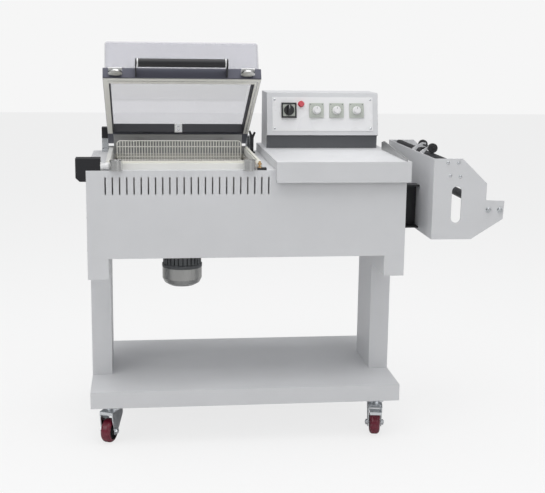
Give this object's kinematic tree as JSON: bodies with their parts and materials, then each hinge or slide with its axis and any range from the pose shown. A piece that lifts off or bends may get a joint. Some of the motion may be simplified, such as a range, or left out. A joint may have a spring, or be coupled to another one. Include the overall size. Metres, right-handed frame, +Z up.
{
  "type": "l bar sealer",
  "caption": "L-bar sealer with shrink chamber: hood over a wire tray, loading table, dial cabinet, film cradle, legs, shelf and swivel castors.",
  "frame": {"origin": "on the floor, under the middle of the machine's overall box", "axes": "+X to the right along the machine as its operator sees it, +Y from the operator to the back, +Z up"},
  "size_m": [1.296, 0.618, 1.2225],
  "materials": {
    "light_grey_paint": "fine texture",
    "stainless": "satin",
    "white_wire": "plastic coated",
    "motor_paint": "satin",
    "fan_metal": "as cast",
    "jaw_metal": "anodised",
    "white_silicone": "matt",
    "white_ptfe": "woven",
    "nickel": "plated",
    "black_paint": "matt",
    "white_plastic": "smooth",
    "brass": "bright",
    "grey_plastic": "smooth",
    "black_plastic": "smooth",
    "red_lens": "clear",
    "clear_acrylic": "polished",
    "black_lining": "matt",
    "black_rubber": "matt",
    "dark_roller": "matt",
    "zinc": "zinc plated",
    "red_polyurethane": "smooth"
  },
  "bodies": {
    "frame": {"body_shell": "light_grey_paint", "body_base": "light_grey_paint", "rails": "light_grey_paint", "leg_left": "light_grey_paint", "leg_right": "light_grey_paint", "shelf": "light_grey_paint", "chamber_tub": "stainless", "product_grid": "white_wire", "heater": "stainless", "motor": "motor_paint", "lower_jaw": "jaw_metal", "seal_rubber": "white_silicone", "rear_guard": "stainless", "magnets": "nickel", "switch_housing": "black_paint", "switch_gland": "white_plastic", "wire_terminal": "brass", "hinge_blocks": "black_paint", "hinge_pins": "stainless", "limit_switch": "black_paint", "work_table": "light_grey_paint", "film_separator": "black_paint", "control_box": "light_grey_paint", "control_panel": "white_plastic", "switch_plate": "grey_plastic", "pilot_lamp": "red_lens", "dial_plates": "grey_plastic", "cradle_front_plate": "light_grey_paint", "cradle_rear_plate": "light_grey_paint", "cradle_side": "light_grey_paint", "cradle_arms": "black_paint", "castor_plates": "zinc"},
    "hood": {"hood_frame": "jaw_metal", "hood_dome": "clear_acrylic", "upper_jaw": "white_ptfe", "hood_lining": "black_lining", "rear_bracket": "white_wire", "armatures": "nickel", "armature_brackets": "white_wire", "handle_frame": "stainless", "handle_grip": "black_rubber"},
    "impeller": {"impeller": "fan_metal"},
    "main_knob": {"switch_knob": "black_plastic"},
    "heat_knob": {"heat_dial": "white_plastic"},
    "seal_knob": {"seal_dial": "white_plastic"},
    "cool_knob": {"cool_dial": "white_plastic"},
    "near_roller": {"film_roller_near": "dark_roller"},
    "punch": {"punch_wheels": "nickel"},
    "far_roller": {"film_roller_far": "dark_roller"},
    "guide": {"guide_roller": "dark_roller"},
    "swivel_front_left": {"castor_fork_front_left": "zinc"},
    "wheel_front_left": {"castor_wheel_front_left": "red_polyurethane"},
    "swivel_front_right": {"castor_fork_front_right": "zinc"},
    "wheel_front_right": {"castor_wheel_front_right": "red_polyurethane"},
    "brake_front_right": {"brake_pedal_front_right": "zinc"},
    "swivel_rear_left": {"castor_fork_rear_left": "zinc"},
    "wheel_rear_left": {"castor_wheel_rear_left": "red_polyurethane"},
    "brake_rear_left": {"brake_pedal_rear_left": "zinc"},
    "swivel_rear_right": {"castor_fork_rear_right": "zinc"},
    "wheel_rear_right": {"castor_wheel_rear_right": "red_polyurethane"}
  },
  "joints": [
    {"name": "hood_hinge", "type": "hinge", "parent": "frame", "child": "hood", "pos_m": [-0.332, 0.262, 0.887], "axis": [1, 0, 0], "range_deg": [0, 27], "stiffness_Nm_per_rad": 24, "springref_deg": -68.75},
    {"name": "fan_spin", "type": "hinge", "parent": "frame", "child": "impeller", "pos_m": [-0.328, -0.005, 0.674], "axis": [0, 0, 1], "continuous": true},
    {"name": "main_switch_turn", "type": "hinge", "parent": "frame", "child": "main_knob", "pos_m": [0.03, 0.09886, 1.00325], "axis": [0, -0.9786, 0.2057], "range_deg": [-90, 0]},
    {"name": "heat_dial_turn", "type": "hinge", "parent": "frame", "child": "heat_knob", "pos_m": [0.122, 0.09886, 1.00325], "axis": [0, -0.9786, 0.2057], "range_deg": [-135, 135]},
    {"name": "seal_dial_turn", "type": "hinge", "parent": "frame", "child": "seal_knob", "pos_m": [0.1895, 0.09886, 1.00325], "axis": [0, -0.9786, 0.2057], "range_deg": [-135, 135]},
    {"name": "cool_dial_turn", "type": "hinge", "parent": "frame", "child": "cool_knob", "pos_m": [0.257, 0.09886, 1.00325], "axis": [0, -0.9786, 0.2057], "range_deg": [-135, 135]},
    {"name": "near_roller_spin", "type": "hinge", "parent": "frame", "child": "near_roller", "pos_m": [0.458, 0.007, 0.689], "axis": [0, 1, 0], "continuous": true},
    {"name": "far_roller_spin", "type": "hinge", "parent": "frame", "child": "far_roller", "pos_m": [0.615, 0.007, 0.729], "axis": [0, 1, 0], "continuous": true},
    {"name": "guide_roller_spin", "type": "hinge", "parent": "frame", "child": "guide", "pos_m": [0.46, 0.007, 0.874], "axis": [0, 1, 0], "continuous": true},
    {"name": "punch_wheel_spin", "type": "hinge", "parent": "frame", "child": "punch", "pos_m": [0.46, 0.007, 0.9025], "axis": [0, 1, 0], "continuous": true},
    {"name": "front_left_swivel", "type": "hinge", "parent": "frame", "child": "swivel_front_left", "pos_m": [-0.554, -0.221, 0.114], "axis": [0, 0, 1], "continuous": true},
    {"name": "front_left_roll", "type": "hinge", "parent": "swivel_front_left", "child": "wheel_front_left", "pos_m": [-0.56376, -0.24293, 0.0375], "axis": [0.9135, -0.4067, 0], "continuous": true},
    {"name": "front_right_swivel", "type": "hinge", "parent": "frame", "child": "swivel_front_right", "pos_m": [0.278, -0.221, 0.114], "axis": [0, 0, 1], "continuous": true},
    {"name": "front_right_roll", "type": "hinge", "parent": "swivel_front_right", "child": "wheel_front_right", "pos_m": [0.27425, -0.2447, 0.0375], "axis": [0.9877, -0.1564, 0], "continuous": true},
    {"name": "front_right_brake", "type": "hinge", "parent": "swivel_front_right", "child": "brake_front_right", "pos_m": [0.27002, -0.27137, 0.089], "axis": [0.9877, -0.1564, 0], "range_deg": [0, 14]},
    {"name": "rear_left_swivel", "type": "hinge", "parent": "frame", "child": "swivel_rear_left", "pos_m": [-0.554, 0.215, 0.114], "axis": [0, 0, 1], "continuous": true},
    {"name": "rear_left_roll", "type": "hinge", "parent": "swivel_rear_left", "child": "wheel_rear_left", "pos_m": [-0.54819, 0.19171, 0.0375], "axis": [0.9703, 0.2419, 0], "continuous": true},
    {"name": "rear_left_brake", "type": "hinge", "parent": "swivel_rear_left", "child": "brake_rear_left", "pos_m": [-0.54166, 0.16551, 0.089], "axis": [0.9703, 0.2419, 0], "range_deg": [0, 14]},
    {"name": "rear_right_swivel", "type": "hinge", "parent": "frame", "child": "swivel_rear_right", "pos_m": [0.278, 0.215, 0.114], "axis": [0, 0, 1], "continuous": true},
    {"name": "rear_right_roll", "type": "hinge", "parent": "swivel_rear_right", "child": "wheel_rear_right", "pos_m": [0.28927, 0.19381, 0.0375], "axis": [0.8829, 0.4695, 0], "continuous": true}
  ]
}
